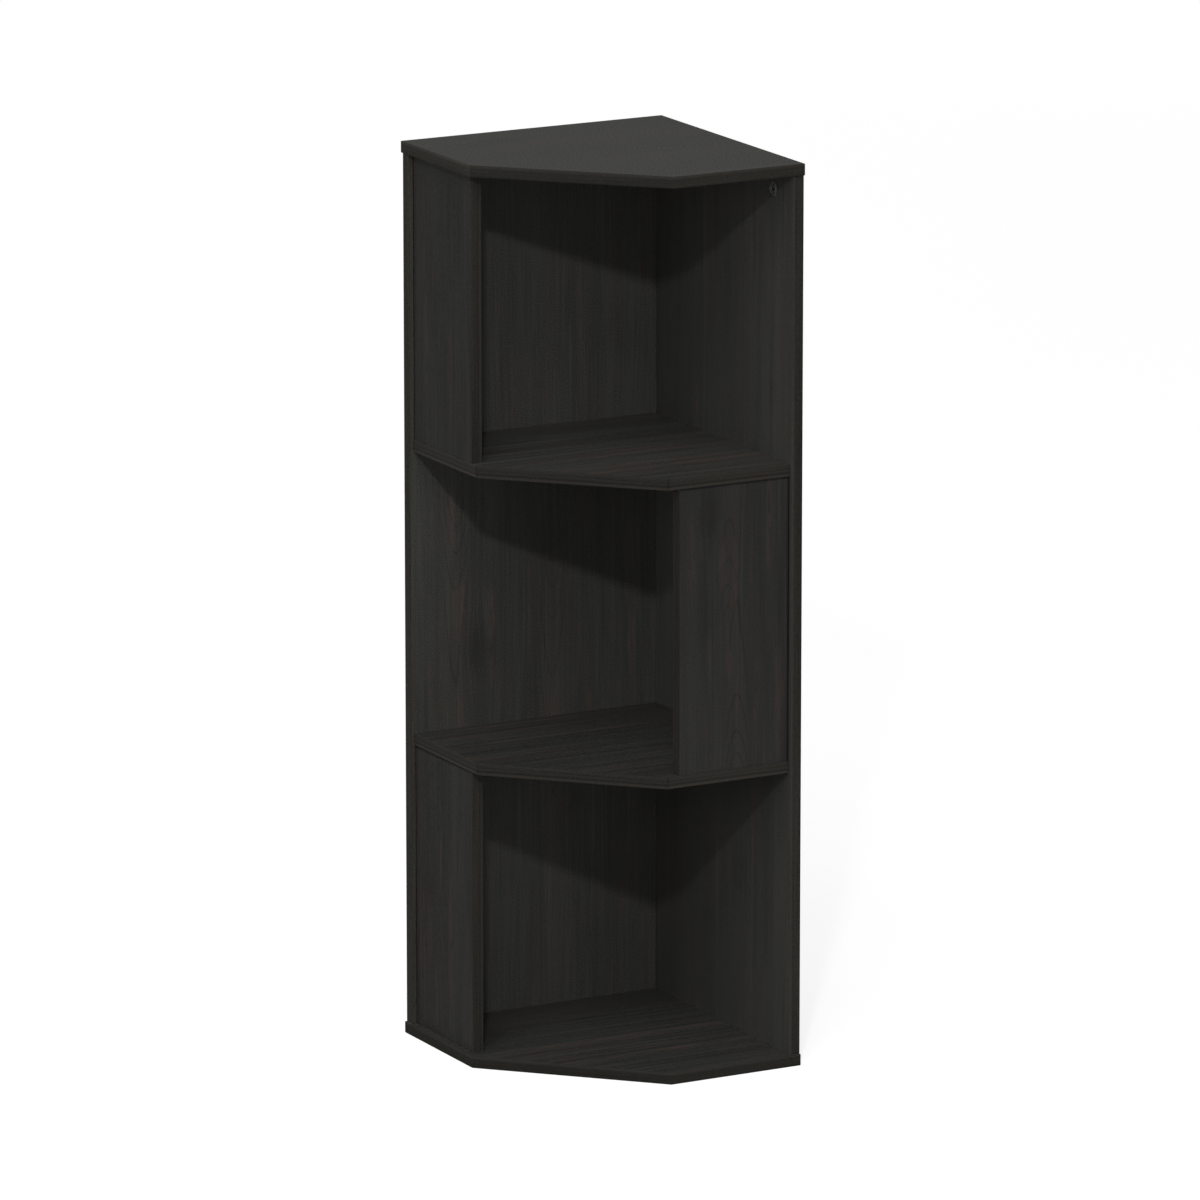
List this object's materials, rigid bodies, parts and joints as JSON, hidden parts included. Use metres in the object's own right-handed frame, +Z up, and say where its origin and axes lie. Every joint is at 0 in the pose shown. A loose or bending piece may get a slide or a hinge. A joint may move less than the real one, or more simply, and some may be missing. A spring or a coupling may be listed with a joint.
{
  "type": "corner shelf unit",
  "caption": "Tall corner shelf unit in dark wood-grain board: wall panels joined at the back corner carry cut-corner shelves and short alternating uprights between a top and a base panel.",
  "frame": {"origin": "centre of the footprint, on the floor under the bottom panel", "axes": "+Z up; +Y towards the wall behind the back panel; -X towards the wall beside the side panel; the open front faces +X and -Y"},
  "size_m": [0.296, 0.296, 0.924],
  "materials": {
    "board_laminate": "satin, black-brown wood-grain laminate on particle board",
    "edge_band": "satin, wood-grain edge banding",
    "zinc": "dull zinc die casting",
    "steel": "bright zinc-plated steel",
    "beech": "raw turned hardwood"
  },
  "bodies": {
    "carcass": {"top_panel": "board_laminate", "bottom_panel": "board_laminate", "back_panel": "board_laminate", "side_panel": "board_laminate", "upper_shelf": "board_laminate", "lower_shelf": "board_laminate", "upper_upright": "board_laminate", "middle_upright": "board_laminate", "lower_upright": "board_laminate", "top_panel_edge_band": "edge_band", "bottom_panel_edge_band": "edge_band", "upper_shelf_edge_band": "edge_band", "lower_shelf_edge_band": "edge_band", "back_panel_end_band": "edge_band", "back_panel_corner_band": "edge_band", "side_panel_end_band": "edge_band", "upper_upright_edge_band": "edge_band", "middle_upright_edge_band": "edge_band", "lower_upright_edge_band": "edge_band", "back_panel_outer_cam_bolt": "steel", "back_panel_inner_cam_bolt": "steel", "side_panel_outer_cam_bolt": "steel", "side_panel_inner_cam_bolt": "steel", "upper_upright_cam_bolt": "steel", "middle_upright_cam_bolt": "steel", "lower_upright_cam_bolt": "steel", "upper_upright_top_dowel": "beech", "upper_upright_bottom_dowel": "beech", "middle_upright_top_dowel": "beech", "middle_upright_bottom_dowel": "beech", "lower_upright_top_dowel": "beech", "lower_upright_bottom_dowel": "beech", "upper_upright_screw": "steel", "middle_upright_screw": "steel", "lower_upright_screw": "steel", "bottom_to_back_screw_1": "steel", "bottom_to_back_screw_2": "steel", "bottom_to_side_screw_1": "steel", "bottom_to_side_screw_2": "steel", "back_to_lower_shelf_screw_1": "steel", "back_to_lower_shelf_screw_2": "steel", "back_to_upper_shelf_screw_1": "steel", "back_to_upper_shelf_screw_2": "steel", "side_to_lower_shelf_screw_1": "steel", "side_to_lower_shelf_screw_2": "steel", "side_to_upper_shelf_screw_1": "steel", "side_to_upper_shelf_screw_2": "steel", "corner_screw_1": "steel", "corner_screw_2": "steel", "corner_screw_3": "steel"},
    "back_outer_cam": {"back_panel_outer_cam_lock": "zinc"},
    "back_inner_cam": {"back_panel_inner_cam_lock": "zinc"},
    "side_outer_cam": {"side_panel_outer_cam_lock": "zinc"},
    "side_inner_cam": {"side_panel_inner_cam_lock": "zinc"},
    "upper_upright_cam": {"upper_upright_cam_lock": "zinc"},
    "middle_upright_cam": {"middle_upright_cam_lock": "zinc"},
    "lower_upright_cam": {"lower_upright_cam_lock": "zinc"}
  },
  "joints": [
    {"name": "back_outer_cam_turn", "type": "hinge", "parent": "carcass", "child": "back_outer_cam", "pos_m": [0.104, 0.136, 0.892], "axis": [0, -1, 0], "range_deg": [0, 200]},
    {"name": "back_inner_cam_turn", "type": "hinge", "parent": "carcass", "child": "back_inner_cam", "pos_m": [-0.094, 0.136, 0.892], "axis": [0, -1, 0], "range_deg": [0, 200]},
    {"name": "side_outer_cam_turn", "type": "hinge", "parent": "carcass", "child": "side_outer_cam", "pos_m": [-0.136, -0.104, 0.892], "axis": [1, 0, 0], "range_deg": [0, 200]},
    {"name": "side_inner_cam_turn", "type": "hinge", "parent": "carcass", "child": "side_inner_cam", "pos_m": [-0.136, 0.094, 0.892], "axis": [1, 0, 0], "range_deg": [0, 200]},
    {"name": "upper_upright_cam_turn", "type": "hinge", "parent": "carcass", "child": "upper_upright_cam", "pos_m": [-0.053, -0.129, 0.892], "axis": [0, 1, 0], "range_deg": [0, 200]},
    {"name": "middle_upright_cam_turn", "type": "hinge", "parent": "carcass", "child": "middle_upright_cam", "pos_m": [0.129, 0.053, 0.588], "axis": [-1, 0, 0], "range_deg": [0, 200]},
    {"name": "lower_upright_cam_turn", "type": "hinge", "parent": "carcass", "child": "lower_upright_cam", "pos_m": [-0.053, -0.129, 0.284], "axis": [0, 1, 0], "range_deg": [0, 200]}
  ]
}
